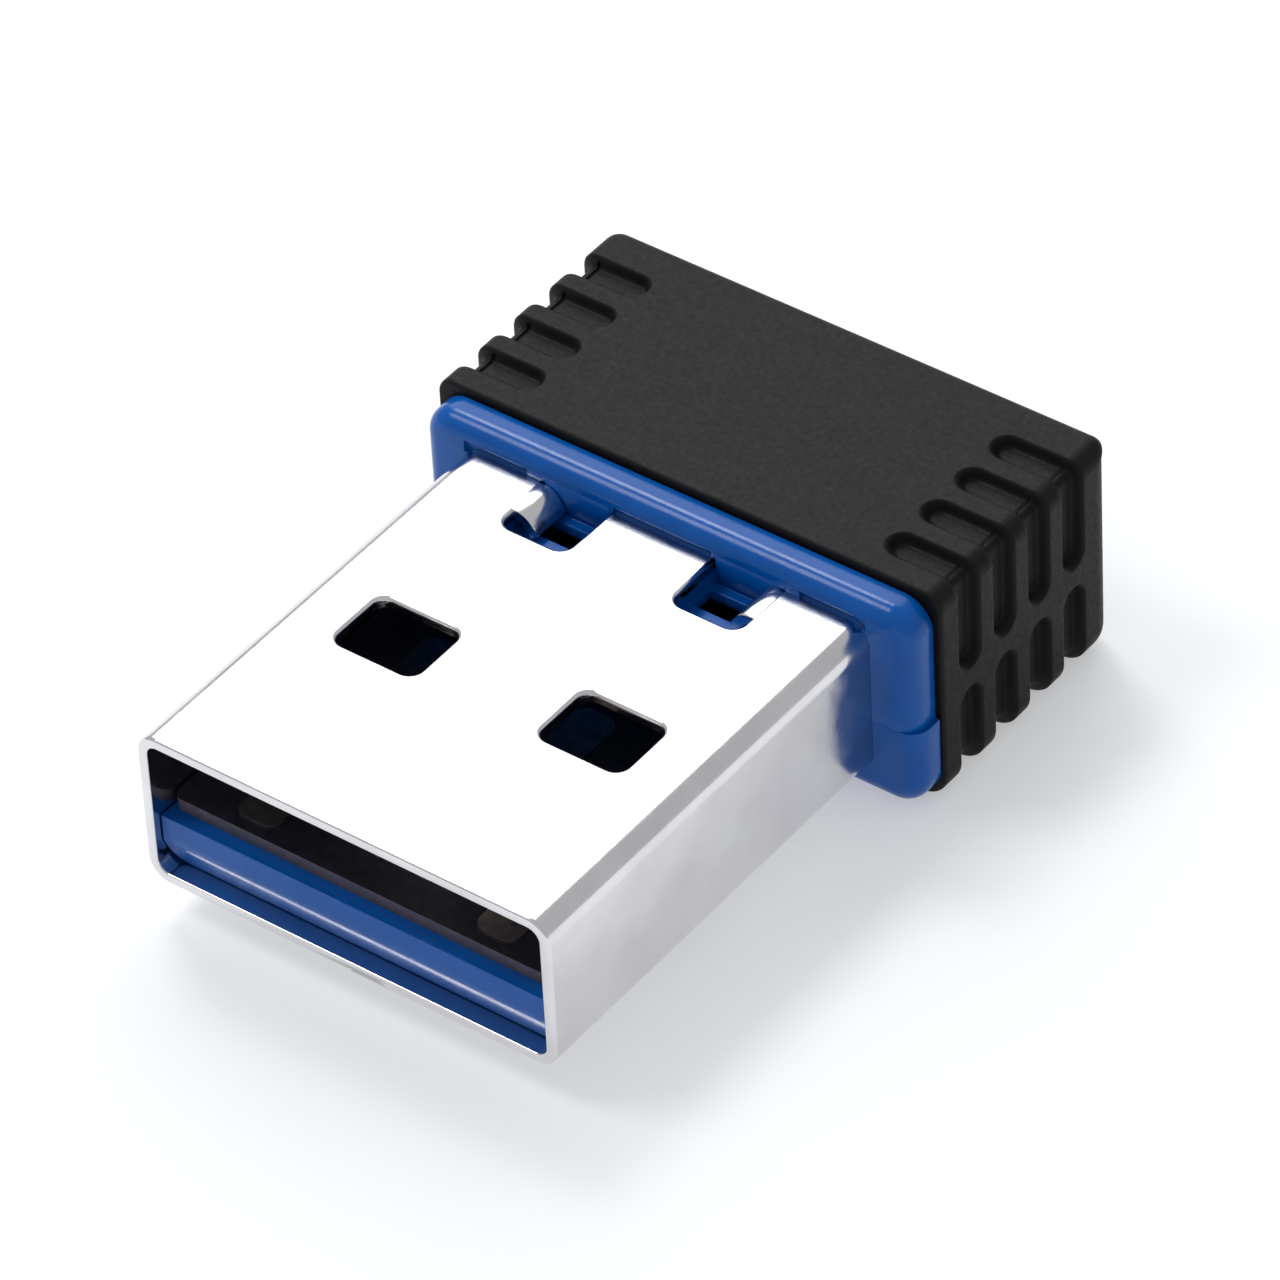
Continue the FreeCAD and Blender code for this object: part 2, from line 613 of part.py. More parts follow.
def wifi_chip():
    """Flat leadless package with a row of pads along each side."""
    body = centred_box(0, WIFI_CHIP_Y, WIFI_CHIP_SIDE, WIFI_CHIP_SIDE, CHIP_PAD_PROUD, WIFI_CHIP_HEIGHT)
    pads = []
    inset = (WIFI_CHIP_SIDE - CHIP_PAD_LENGTH) / 2
    for index in range(CHIP_PADS_PER_SIDE):
        along = (index - (CHIP_PADS_PER_SIDE - 1) / 2) * CHIP_PAD_PITCH
        for side in (-1, 1):
            pads.append(centred_box(along, WIFI_CHIP_Y + side * inset,
                                    CHIP_PAD_WIDTH, CHIP_PAD_LENGTH, 0, 2 * CHIP_PAD_PROUD))
            pads.append(centred_box(side * inset, WIFI_CHIP_Y + along,
                                    CHIP_PAD_LENGTH, CHIP_PAD_WIDTH, 0, 2 * CHIP_PAD_PROUD))
    return underneath(fused([body] + pads))


def crystal():
    width, length, height = CRYSTAL_SIZE
    base = rounded_prism(*CRYSTAL_XY, width, length, 0, CRYSTAL_BASE_HEIGHT, CRYSTAL_CORNER)
    lid = rounded_prism(*CRYSTAL_XY, width - CRYSTAL_LID_INSET, length - CRYSTAL_LID_INSET,
                        CRYSTAL_LID_Z, height, CRYSTAL_CORNER)
    return underneath(fused([base, lid]))


def voltage_regulator():
    """Small moulded package with three leads on one side and two on the other."""
    x, y = REGULATOR_XY
    width, length, height = REGULATOR_SIZE
    body = centred_box(x, y, width, length, REGULATOR_STANDOFF, height)
    leads = []
    for side, columns in ((-1, (-1, 0, 1)), (1, (-1, 1))):
        for column in columns:
            leads.append(centred_box(x + column * LEAD_PITCH, y + side * (length + LEAD_REACH) / 2,
                                     LEAD_WIDTH, LEAD_REACH + LEAD_ROOT, 0, LEAD_HEIGHT))
    return on_top(fused([body] + leads))


def power_inductor():
    """Wound coil in a square ferrite body with a round top."""
    x, y = INDUCTOR_XY
    width, length, height = INDUCTOR_SIZE
    coil_z0, coil_z1 = INDUCTOR_COIL_Z
    base = rounded_prism(x, y, width, length, 0, INDUCTOR_BASE_HEIGHT, INDUCTOR_CORNER)
    coil = Part.makeCylinder(INDUCTOR_COIL_RADIUS, coil_z1 - coil_z0, V(x, y, coil_z0))
    lid = rounded_prism(x, y, width, length, height - INDUCTOR_LID_HEIGHT, height, INDUCTOR_CORNER)
    return on_top(fused([base, coil, lid]))


def chip_group(places, size, place_on_board):
    return Part.makeCompound([place_on_board(end_capped_chip(x, y, size)) for x, y in places])


def crystal_load_capacitors():
    middle_y = CRYSTAL_XY[1]
    places = [(LOAD_CAPACITOR_X, middle_y + side * LOAD_CAPACITOR_STEP) for side in (-1, 1)]
    return chip_group(places, SMALL_CHIP, underneath)


def decoupling_capacitors():
    front_y = WIFI_CHIP_Y - WIFI_CHIP_SIDE / 2
    rear_y = WIFI_CHIP_Y + WIFI_CHIP_SIDE / 2
    front_row = [(x, front_y - FRONT_DECOUPLING_GAP) for x in FRONT_DECOUPLING_X]
    rear_row = [(REAR_DECOUPLING_X, rear_y + gap) for gap in REAR_DECOUPLING_GAPS]
    return chip_group(front_row + rear_row, SMALL_CHIP, underneath)


def bulk_capacitors():
    return chip_group([(x, BULK_CAPACITOR_Y) for x in (-BULK_CAPACITOR_X, BULK_CAPACITOR_X)],
                      BULK_CAPACITOR_SIZE, on_top)


def resistors():
    return chip_group([(x, RESISTOR_Y) for x in RESISTOR_X], SMALL_CHIP, underneath)


def rf_matching_parts():
    return chip_group([(x, ANTENNA_FEED_Y) for x in RF_PARTS_X], SMALL_CHIP, on_top)


def ferrite_bead():
    return on_top(end_capped_chip(*FERRITE_XY, FERRITE_SIZE))


def rf_filter():
    return on_top(end_capped_chip(*FILTER_XY, FILTER_SIZE))


NODES = {
    "plug_shell": plug_shell,
    "lower_carrier": lower_carrier,
    "upper_carrier": upper_carrier,
    "rear_cap": rear_cap,
    "circuit_board": circuit_board,
    "vbus_contact": lambda: contact(OUTER_CONTACT_X, OUTER_CONTACT_FRONT_Y),
    "data_minus_contact": lambda: contact(INNER_CONTACT_X, INNER_CONTACT_FRONT_Y),
    "data_plus_contact": lambda: contact(-INNER_CONTACT_X, INNER_CONTACT_FRONT_Y),
    "ground_contact": lambda: contact(-OUTER_CONTACT_X, OUTER_CONTACT_FRONT_Y),
    "shell_ground_joints": shell_ground_joints,
    "wifi_chip": wifi_chip,
    "crystal": crystal,
    "crystal_load_capacitors": crystal_load_capacitors,
    "decoupling_capacitors": decoupling_capacitors,
    "voltage_regulator": voltage_regulator,
    "power_inductor": power_inductor,
    "bulk_capacitors": bulk_capacitors,
    "ferrite_bead": ferrite_bead,
    "resistors": resistors,
    "rf_filter": rf_filter,
    "rf_matching_parts": rf_matching_parts,
    "antenna_trace": antenna_trace,
}


def main():
    os.makedirs("parts", exist_ok=True)
    for name, build in NODES.items():
        build().exportStep(f"parts/{name}.step")


main()
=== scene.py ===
import json
import math

import bmesh
import bpy
import numpy as np
from mathutils import Matrix, Vector


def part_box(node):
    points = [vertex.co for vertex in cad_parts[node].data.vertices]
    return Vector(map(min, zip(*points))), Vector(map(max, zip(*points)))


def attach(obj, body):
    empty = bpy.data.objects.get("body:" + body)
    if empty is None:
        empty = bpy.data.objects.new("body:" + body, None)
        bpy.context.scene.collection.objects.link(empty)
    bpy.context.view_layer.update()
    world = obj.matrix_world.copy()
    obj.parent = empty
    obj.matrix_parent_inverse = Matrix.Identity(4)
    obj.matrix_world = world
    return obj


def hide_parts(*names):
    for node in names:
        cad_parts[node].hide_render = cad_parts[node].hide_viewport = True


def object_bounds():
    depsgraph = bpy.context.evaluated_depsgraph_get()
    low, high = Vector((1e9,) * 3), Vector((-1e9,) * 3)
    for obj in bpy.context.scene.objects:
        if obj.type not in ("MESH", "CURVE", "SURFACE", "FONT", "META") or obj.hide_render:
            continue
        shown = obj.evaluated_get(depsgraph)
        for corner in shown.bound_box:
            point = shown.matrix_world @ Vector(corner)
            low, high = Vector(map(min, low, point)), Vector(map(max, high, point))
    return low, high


# Nano USB WiFi adapter: plated plug shell, glossy blue carrier halves and a grained black cap.
# Lengths below are millimetres in the row's frame; every mesh is scaled to metres as it is made.

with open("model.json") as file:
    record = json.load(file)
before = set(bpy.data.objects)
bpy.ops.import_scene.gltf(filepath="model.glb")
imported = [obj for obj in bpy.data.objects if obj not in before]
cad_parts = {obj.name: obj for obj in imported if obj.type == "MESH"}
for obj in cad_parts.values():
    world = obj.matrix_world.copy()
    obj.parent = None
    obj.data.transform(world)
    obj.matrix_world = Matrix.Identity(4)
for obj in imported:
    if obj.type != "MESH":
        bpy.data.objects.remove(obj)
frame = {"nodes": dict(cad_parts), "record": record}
cad_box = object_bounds()

MM = 0.001
QUARTER_TURN = math.pi / 2
TINY = 1e-6
CUT_MARGIN = 1.0

# ---- plug shell ----
SHEET = 0.3
SHELL_CORNER = 0.62
MOUTH_ROUND = 0.1
MOUTH_INNER_ROUND = 0.05
RIM_ROUND = 0.12
WINDOW_WIDTH = 2.45
WINDOW_LENGTH = 1.95
WINDOW_X = 3.0
WINDOW_Y = -6.35
WINDOW_CORNER = 0.35
NOTCH_X = (1.55, 3.5)
NOTCH_FRONT_Y = -1.8
NOTCH_CORNER = 0.35
TAB_Y = (-1.2, -0.03)
TAB_BEND_X = 3.44
TAB_BEND_RADIUS = 0.22
TAB_BEND_ANGLE = math.radians(56)
TAB_STRAIGHT = 0.38
SEAM_WIDTH = 0.06
SEAM_KEY_Y = (-9.3, -2.9)
SEAM_KEY_LENGTH = 1.6
SEAM_KEY_REACH = 0.6

# ---- carrier halves ----
GAP = 0.03
COLLAR_DEPTH = 0.9
COLLAR_CORNER = 0.8
COLLAR_ROUND = 0.5
COLLAR_FIT = 0.002
COLLAR_LIP_ROUND = 0.006
SPLIT_STEP_X = 5.85
FILLER_X = (1.57, 3.45)
FILLER_TOP_Z = 2.38
FILLER_PROUD = 0.002
ENTRY_SPANS = ((-1.45, 1.45), (4.0, 5.9), (-5.9, -4.0))
ENTRY_HEIGHT = 0.19
ENTRY_DEPTH = 0.12
FLANGE_HALF = 6.7
FLANGE_HALF_HEIGHT = 2.4
FLANGE_END_Y = 2.05
CATCH_HALF = 2.0
CATCH_Y = (1.3, 1.85)
CATCH_HEIGHT = 0.18
CATCH_ROOT = 0.1
BLOCK_FRONT_Y = -2.4
BLOCK_HALF = 5.65
BLOCK_CORNER = 0.5
SHELF_Z = 1.5
SHELF_X = (1.45, 3.6)
SHELF_FRONT_Y = -1.9
TAB_POCKET_X = (1.55, 3.4)
TAB_POCKET_Y = (-0.93, -0.25)
HOLLOW_HALF = 3.8
HOLLOW_Y = (-2.2, 0.85)
HOLLOW_TOP_Z = 1.2
TONGUE_HALF = 5.67
NOSE_LOW_Z = -1.15
NOSE_SET_BACK = 0.3
TONGUE_TOP_ROUND = 0.15
TONGUE_BOTTOM_ROUND = 0.55
CHIP_POCKET_HALF = 3.6
CHIP_POCKET_Y = (-9.7, 0.6)
CHIP_POCKET_FLOOR_Z = -1.5
RAIL_X = (4.3, 6.2)
RAIL_DEPTH = 0.85
RAIL_END_Y = 5.1
PEG_X = 4.4
PEG_Y = -0.2
PEG_RADIUS = 0.4
PEG_ROOT = 0.3
PEG_TOP_Z = 0.5
EDGE_ROUND = 0.04
SMALL_ROUND = 0.02

# ---- turns, in degrees, above which an edge gets a small round ----
SHARP_TURN = 50.0
NOSE_TURN = 40.0
TAB_TURN = 60.0

# ---- rear cap ----
CAP_TOP_CORNER = 0.5
CAP_LOW_CORNER = 0.75
CAP_SMALLEST_CORNER = 0.03
CAP_FRONT_ROUND = 0.1
CAP_REAR_ROUND_TOP = 0.42
CAP_REAR_ROUND_SIDE = 0.75
TOP_BLEND = (-0.1, 0.8)
SOCKET_HALF = 6.75
SOCKET_HALF_HEIGHT = 2.45
SOCKET_END_Y = 2.2
CAVITY_HALF = 6.45
CAVITY_HALF_HEIGHT = 2.2
CAVITY_END_Y = 7.2
INNER_CORNER = 0.8
GROOVE_COUNT = 4
GROOVE_FIRST_Y = 2.07
GROOVE_PITCH = 1.42
GROOVE_RADIUS = 0.48
GROOVE_DEPTH = 0.3
GROOVE_INNER_X = 5.07
MID_RIB_Z = (-0.35, 0.15)
STEEP_WALL = 0.16
GENTLE_WALL = 0.34
FINE_STEP = 0.035
COARSE_STEP = 0.14
COARSE_ROW_STEP = 0.1
FINE_MARGIN = 0.05
REAR_ROW_GAP = 0.02

# ---- mesh detail: segments in each quarter turn ----
SECTION_STEPS = 14
ARCH_STEPS = 12
COLLAR_ROUND_STEPS = 12
LIP_STEPS = 3
BAR_STEPS = 10
OPENING_STEPS = 10
RIM_STEPS = 6
MOUTH_STEPS = 6
MOUTH_INNER_STEPS = 4
CAP_FRONT_STEPS = 5
CAP_REAR_STEPS = 12

# ---- mesh detail: counts, and how much large faces weigh in the shading ----
TAB_STEPS = 10
PEG_SIDES = 24
BEVEL_SEGMENTS = 3
ARCH_WALL_POINTS = 5
ARCH_ROOF_POINTS = 10
NORMAL_WEIGHT = 60

# ---- colours, as linear red, green and blue, and the part of a noise's range they span ----
CLOUD_SPAN = (0.3, 0.7)
GRAIN_SPAN = (0.35, 0.65)
SHELL_DARK = (0.70, 0.69, 0.71)
SHELL_LIGHT = (0.78, 0.775, 0.785)
BLUE_DARK = (0.0005, 0.072, 0.32)
BLUE_LIGHT = (0.0007, 0.084, 0.36)
CAP_DARK = (0.0055, 0.0055, 0.0055)
CAP_LIGHT = (0.0075, 0.0075, 0.0077)
MASK_DARK = (0.009, 0.010, 0.016)
MASK_LIGHT = (0.018, 0.019, 0.028)
EDGE_DARK = (0.060, 0.053, 0.070)
EDGE_LIGHT = (0.085, 0.076, 0.095)
FLOOR_DARK = (0.555, 0.562, 0.575)
FLOOR_LIGHT = (0.565, 0.572, 0.585)
FLOOR_GLOW_COLOR = (0.975, 0.985, 1.0)
WORLD_COLOR = (0.97, 0.98, 1.0)

# ---- stage: millimetres, and light strengths ----
FLOOR_REACH = 600.0
FLOOR_GLOW = 0.40
WORLD_STRENGTH = 0.55

# ---- camera: millimetres, and metres for the clip distances ----
AIM = (1.57, -3.00, 1.91)
AZIMUTH = math.radians(38.82)
ELEVATION = math.radians(40.99)
ROLL = math.radians(-3.26)
DISTANCE = 212.15
LENS = 255.5
SENSOR_WIDTH = 36.0
NEAR_CLIP = 0.01
FAR_CLIP = 10.0


def node_box(node):
    """Lowest and highest corner of a CAD node, in millimetres."""
    low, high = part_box(node)
    return np.array(low) / MM, np.array(high) / MM


# ---------------------------------------------------------------- meshes

def new_object(name, points, faces):
    """Object from points in millimetres, with its faces turned outwards."""
    mesh = bpy.data.meshes.new(name)
    mesh.from_pydata((np.asarray(points) * MM).tolist(), [], faces)
    work = bmesh.new()
    work.from_mesh(mesh)
    bmesh.ops.recalc_face_normals(work, faces=work.faces)
    work.to_mesh(mesh)
    work.free()
    thing = bpy.data.objects.new(name, mesh)
    bpy.context.scene.collection.objects.link(thing)
    return thing


def grid_object(name, grid, wrap_rows, wrap_columns):
    """Object from a grid of points. An edge row or column that isn't wrapped becomes one face."""
    rows, columns, _ = grid.shape
    index = np.arange(rows * columns).reshape(rows, columns)
    if wrap_rows:
        index = np.vstack([index, index[:1]])
    if wrap_columns:
        index = np.hstack([index, index[:, :1]])
    faces = []
    for low, high in zip(index[:-1].tolist(), index[1:].tolist()):
        for step in range(len(low) - 1):
            faces.append((low[step], low[step + 1], high[step + 1], high[step]))
    if not wrap_rows:
        faces.append(index[0, :-1].tolist())
        faces.append(index[-1, :-1].tolist())
    if not wrap_columns:
        faces.append(index[:-1, 0].tolist())
        faces.append(index[:-1, -1].tolist())
    return new_object(name, grid.reshape(-1, 3), faces)


def prism(name, outline, low, high, axis):
    """Solid from a flat outline, pushed along an axis: 1 for Y with (x, z), 2 for Z with (x, y)."""
    grid = []
    for level in (low, high):
        flat = np.array(outline, float)
        grid.append(np.insert(flat, axis, level, axis=1))
    return grid_object(name, np.array(grid), False, True)


def block(name, x, y, z):
    """Box between the given pairs of X, Y and Z."""
    outline = [(x[0], y[0]), (x[1], y[0]), (x[1], y[1]), (x[0], y[1])]
    return prism(name, outline, z[0], z[1], 2)


def baked(thing):
    """Applies the object's modifiers to its mesh."""
    evaluated = thing.evaluated_get(bpy.context.evaluated_depsgraph_get())
    mesh = bpy.data.meshes.new_from_object(evaluated)
    thing.modifiers.clear()
    thing.data = mesh
    return thing


def cut(thing, cutters):
    """Takes the cutters out of the object."""
    for cutter in cutters:
        modifier = thing.modifiers.new("cut", "BOOLEAN")
        modifier.operation = "DIFFERENCE"
        modifier.solver = "EXACT"
        modifier.object = cutter
    baked(thing)
    for cutter in cutters:
        bpy.data.objects.remove(cutter)
    return thing


def softened(thing, width, degrees=SHARP_TURN):
    """Gives every sharp edge a small round."""
    modifier = thing.modifiers.new("soften", "BEVEL")
    modifier.width = width * MM
    modifier.segments = BEVEL_SEGMENTS
    modifier.limit_method = "ANGLE"
    modifier.angle_limit = math.radians(degrees)
    modifier.use_clamp_overlap = True
    return baked(thing)


def joined(name, things):
    """One object from several."""
    work = bmesh.new()
    for thing in things:
        work.from_mesh(thing.data)
        bpy.data.objects.remove(thing)
    mesh = bpy.data.meshes.new(name)
    work.to_mesh(mesh)
    work.free()
    whole = bpy.data.objects.new(name, mesh)
    bpy.context.scene.collection.objects.link(whole)
    return whole


def dress(mesh, material):
    """Puts one material in place of all that the mesh had."""
    mesh.materials.clear()
    mesh.materials.append(material)


def shaded(thing, material):
    """Smooth shading that keeps the large flat faces flat."""
    dress(thing.data, material)
    thing.data.polygons.foreach_set("use_smooth", [True] * len(thing.data.polygons))
    modifier = thing.modifiers.new("normals", "WEIGHTED_NORMAL")
    modifier.weight = NORMAL_WEIGHT


# ---------------------------------------------------------------- outlines

def arc(centre_x, centre_z, radius, start, end, steps):
    """Points round a circle from the start angle to the end angle, both included."""
    angles = np.linspace(start, end, steps + 1)
    return np.column_stack([centre_x + radius * np.cos(angles), centre_z + radius * np.sin(angles)])


def section(half, low, high, low_corner, high_corner, across, down, steps=SECTION_STEPS):
    """Closed rounded rectangle in X and Z. across and down are the shares of the straight
    runs at which points lie, so that sections of any size have matching points."""
    top = np.column_stack([(2 * across - 1) * (half - high_corner), np.full(len(across), high)])
    bottom = np.column_stack([(1 - 2 * across) * (half - low_corner), np.full(len(across), low)])
    height = high - high_corner - low - low_corner
    right = np.column_stack([np.full(len(down), half), high - high_corner - down * height])
    left = np.column_stack([np.full(len(down), -half), low + low_corner + (1 - down[::-1]) * height])
    return np.vstack([
        top,
        arc(half - high_corner, high - high_corner, high_corner, QUARTER_TURN, 0, steps),
        right,
        arc(half - low_corner, low + low_corner, low_corner, 0, -QUARTER_TURN, steps),
        bottom,
        arc(-half + low_corner, low + low_corner, low_corner, -QUARTER_TURN, -math.pi, steps),
        left,
        arc(-half + high_corner, high - high_corner, high_corner, math.pi, QUARTER_TURN, steps),
    ])


def shares(count):
    """Even shares of a straight run, without its ends."""
    return np.linspace(0, 1, count + 2)[1:-1]


def at_y(outline, y):
    """Outline in X and Z, placed at y, which is one number or one for each point."""
    return np.insert(outline, 1, y, axis=1)


def quarter_steps(steps):
    """Pairs (inset share, depth share) round a quarter circle, from the side wall to the face."""
    angles = np.linspace(0, QUARTER_TURN, steps + 1)
    return np.column_stack([1 - np.cos(angles), np.sin(angles)])


def rounded_bar(name, half, z, y, low_corner, high_corner):
    """Bar along Y with rounded edges."""
    outline = section(half, z[0], z[1], low_corner, high_corner, shares(3), shares(1), BAR_STEPS)
    return prism(name, outline, y[0], y[1], 1)


# ---------------------------------------------------------------- plug shell

def rounded_rectangle(x, y, width, length, corner):
    """Rounded rectangle in X and Y about the point (x, y)."""
    half_x = width / 2 - corner
    half_y = length / 2 - corner
    corners = [(half_x, half_y, 0), (-half_x, half_y, 1), (-half_x, -half_y, 2), (half_x, -half_y, 3)]
    return np.vstack([
        arc(x + cx, y + cy, corner, turn * QUARTER_TURN, (turn + 1) * QUARTER_TURN, OPENING_STEPS)
        for cx, cy, turn in corners
    ])


def rimmed_cutter(name, x, y, width, length, corner, side):
    """Cutter for an opening in the sheet, flared so that the rim outside comes out rounded.
    side is 1 for the top of the shell and -1 for its bottom."""
    face = side * shell_top
    levels = [(0.0, face - side * 2 * SHEET)]
    for inset, depth in quarter_steps(RIM_STEPS):
        levels.append((RIM_ROUND * inset, face - side * RIM_ROUND * (1 - depth)))
    levels.append((RIM_ROUND, face + side * SHEET))
    rings = []
    for grow, z in levels:
        ring = rounded_rectangle(x, y, width + 2 * grow, length + 2 * grow, corner + grow)
        rings.append(np.insert(ring, 2, z, axis=1))
    return grid_object(name, np.array(rings), False, True)


def window_cutters():
    return [rimmed_cutter("window", x, WINDOW_Y, WINDOW_WIDTH, WINDOW_LENGTH, WINDOW_CORNER, side)
            for x in (-WINDOW_X, WINDOW_X) for side in (-1, 1)]


def notch_cutters():
    end_y = shell_high[1] + CUT_MARGIN
    middle_x = sum(NOTCH_X) / 2
    return [rimmed_cutter("notch", x, (NOTCH_FRONT_Y + end_y) / 2, NOTCH_X[1] - NOTCH_X[0],
                          end_y - NOTCH_FRONT_Y, NOTCH_CORNER, 1)
            for x in (-middle_x, middle_x)]


def seam_cutter():
    """Joint line of the folded sheet along the bottom, with a square key at two places."""
    path = [(0, shell_low[1] - CUT_MARGIN)]
    for key_y in SEAM_KEY_Y:
        low = key_y - SEAM_KEY_LENGTH / 2
        high = key_y + SEAM_KEY_LENGTH / 2
        path += [(0, low), (SEAM_KEY_REACH, low), (SEAM_KEY_REACH, high), (0, high)]
    path = np.array(path + [(0, shell_high[1] + CUT_MARGIN)], float)
    runs = np.diff(path, axis=0)
    runs /= np.linalg.norm(runs, axis=1)[:, None]
    sides = np.column_stack([-runs[:, 1], runs[:, 0]])
    before = np.vstack([sides[:1], sides])
    after = np.vstack([sides, sides[-1:]])
    mitre = (before + after) / (1 + (before * after).sum(1))[:, None] * SEAM_WIDTH / 2
    outline = np.vstack([path + mitre, (path - mitre)[::-1]])
    face = shell_low[2]
    return prism("seam", outline, face - SHEET, face + SHEET / 2, 2)


def bent_tab(side):
    """Strip of the sheet that bends down from the notch's outer edge."""
    outer = TAB_BEND_RADIUS + SHEET
    centre = (TAB_BEND_X, shell_top - outer)
    top = arc(*centre, outer, QUARTER_TURN, QUARTER_TURN + TAB_BEND_ANGLE, TAB_STEPS)
    under = arc(*centre, TAB_BEND_RADIUS, QUARTER_TURN + TAB_BEND_ANGLE, QUARTER_TURN, TAB_STEPS)
    along = TAB_STRAIGHT * np.array([-math.cos(TAB_BEND_ANGLE), -math.sin(TAB_BEND_ANGLE)])
    root_x = NOTCH_X[1] + RIM_ROUND
    outline = np.vstack([[(root_x, shell_top)], top, [top[-1] + along, under[0] + along],
                         under, [(root_x, shell_top - SHEET)]])
    outline[:, 0] *= side
    return softened(prism("bent_tab", outline, TAB_Y[0], TAB_Y[1], 1), EDGE_ROUND, TAB_TURN)


def shell_rings():
    """Sections of the folded sheet, from its rear end outside to its rear end inside."""
    mouth = shell_low[1]
    rear = shell_high[1]
    stations = [(0.0, rear)]
    for inset, depth in quarter_steps(MOUTH_STEPS):
        stations.append((MOUTH_ROUND * inset, mouth + MOUTH_ROUND * (1 - depth)))
    for inset, depth in quarter_steps(MOUTH_INNER_STEPS)[::-1]:
        stations.append((SHEET - MOUTH_INNER_ROUND * inset, mouth + MOUTH_INNER_ROUND * (1 - depth)))
    stations.append((SHEET, rear))
    rings = []
    for inset, y in stations:
        corner = SHELL_CORNER - inset
        high = shell_top - inset
        outline = section(shell_half - inset, -high, high, corner, corner, shares(5), shares(2))
        rings.append(at_y(outline, y))
    return np.array(rings)


def plug_shell(material):
    tube = grid_object("shell_tube", shell_rings(), True, True)
    cut(tube, window_cutters() + notch_cutters() + [seam_cutter()])
    shell = joined("plug_shell_visual", [tube, bent_tab(1), bent_tab(-1)])
    shaded(shell, material)
    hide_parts("plug_shell")
    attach(shell, "root")


# ---------------------------------------------------------------- carrier halves

def arch(half, top, split, corner):
    """Open outline in X and Z from the split at +X, over the top, to the split at -X."""
    rise = np.linspace(split, top - corner, ARCH_WALL_POINTS + 1)[:-1]
    run = np.linspace(half - corner, -half + corner, ARCH_ROOF_POINTS + 2)[1:-1]
    return np.vstack([
        np.column_stack([np.full(ARCH_WALL_POINTS, half), rise]),
        arc(half - corner, top - corner, corner, 0, QUARTER_TURN, ARCH_STEPS),
        np.column_stack([run, np.full(ARCH_ROOF_POINTS, top)]),
        arc(-half + corner, top - corner, corner, QUARTER_TURN, math.pi, ARCH_STEPS),
        np.column_stack([np.full(ARCH_WALL_POINTS, -half), rise[::-1]]),
    ])


def collar_half(name, half, top, split):
    """Half ring round the shell with a rounded front, made as an upper half."""
    stations = [(0.0, COLLAR_DEPTH)]
    for inset, depth in quarter_steps(COLLAR_ROUND_STEPS):
        stations.append((COLLAR_ROUND * inset, COLLAR_ROUND * (1 - depth)))
    rings = []
    for inset, y in stations:
        rings.append(at_y(arch(half - inset, top - inset, split, COLLAR_CORNER - inset), y))
    inner_half = shell_half + COLLAR_FIT
    inner_top = shell_top + COLLAR_FIT
    for inset, depth in quarter_steps(LIP_STEPS)[::-1]:
        grow = COLLAR_LIP_ROUND * inset
        outline = arch(inner_half + grow, inner_top + grow, split, SHELL_CORNER + grow)
        rings.append(at_y(outline, COLLAR_LIP_ROUND * (1 - depth)))
    rings.append(at_y(arch(inner_half, inner_top, split, SHELL_CORNER), COLLAR_DEPTH))
    return grid_object(name, np.array(rings), True, False)


def flange_half(side):
    """Plate behind the collar that plugs into the cap, and its snap ridge. side is 1 for the
    upper half and -1 for the lower."""
    outline = arch(FLANGE_HALF, FLANGE_HALF_HEIGHT, side * ring_split, COLLAR_CORNER)
    outline[:, 1] *= side
    plate = prism("flange", outline, COLLAR_DEPTH, FLANGE_END_Y, 1)
    face = side * FLANGE_HALF_HEIGHT
    ridge = face + side * CATCH_HEIGHT
    root = face - side * CATCH_ROOT
    profile = [(CATCH_Y[0], root), (CATCH_Y[0], ridge), (sum(CATCH_Y) / 2, ridge), (CATCH_Y[1], root)]
    rows = [[(x, y, z) for y, z in profile] for x in (-CATCH_HALF, CATCH_HALF)]
    return [plate, grid_object("catch", np.array(rows), False, True)]


def entry_cutters():
    """Shallow openings in the collar's face over the shell's top."""
    z = (shell_top - SHEET / 2, shell_top + ENTRY_HEIGHT)
    return [block("entry", span, (-CUT_MARGIN, ENTRY_DEPTH), z) for span in ENTRY_SPANS]


def mirrored(pair, side):
    """The pair of X as it is for side 1, or on the other side of the middle for side -1."""
    return tuple(sorted(side * value for value in pair))


def block_over_board():
    """Block between the board and the shell's top, with the notches' shelves, the pockets that
    the bent tabs reach into and the hollow under it."""
    plug = rounded_bar("block", BLOCK_HALF, (board_high[2] + GAP, shell_top - SHEET - GAP),
                       (BLOCK_FRONT_Y, COLLAR_DEPTH), SMALL_ROUND, BLOCK_CORNER)
    cutters = [block("hollow", (-HOLLOW_HALF, HOLLOW_HALF), HOLLOW_Y, (board_high[2], HOLLOW_TOP_Z))]
    for side in (-1, 1):
        shelf_x = mirrored(SHELF_X, side)
        pocket_x = mirrored(TAB_POCKET_X, side)
        cutters.append(block("recess", shelf_x, (SHELF_FRONT_Y, 0), (SHELF_Z, shell_top)))
        cutters.append(block("pocket", pocket_x, TAB_POCKET_Y, (board_high[2], shell_top)))
    return softened(cut(plug, cutters), EDGE_ROUND)


def notch_filler(side):
    """Collar plastic that fills a notch of the shell behind the collar's face."""
    return block("filler", mirrored(FILLER_X, side), (-FILLER_PROUD, COLLAR_DEPTH / 2),
                 (SHELF_Z - GAP, FILLER_TOP_Z))


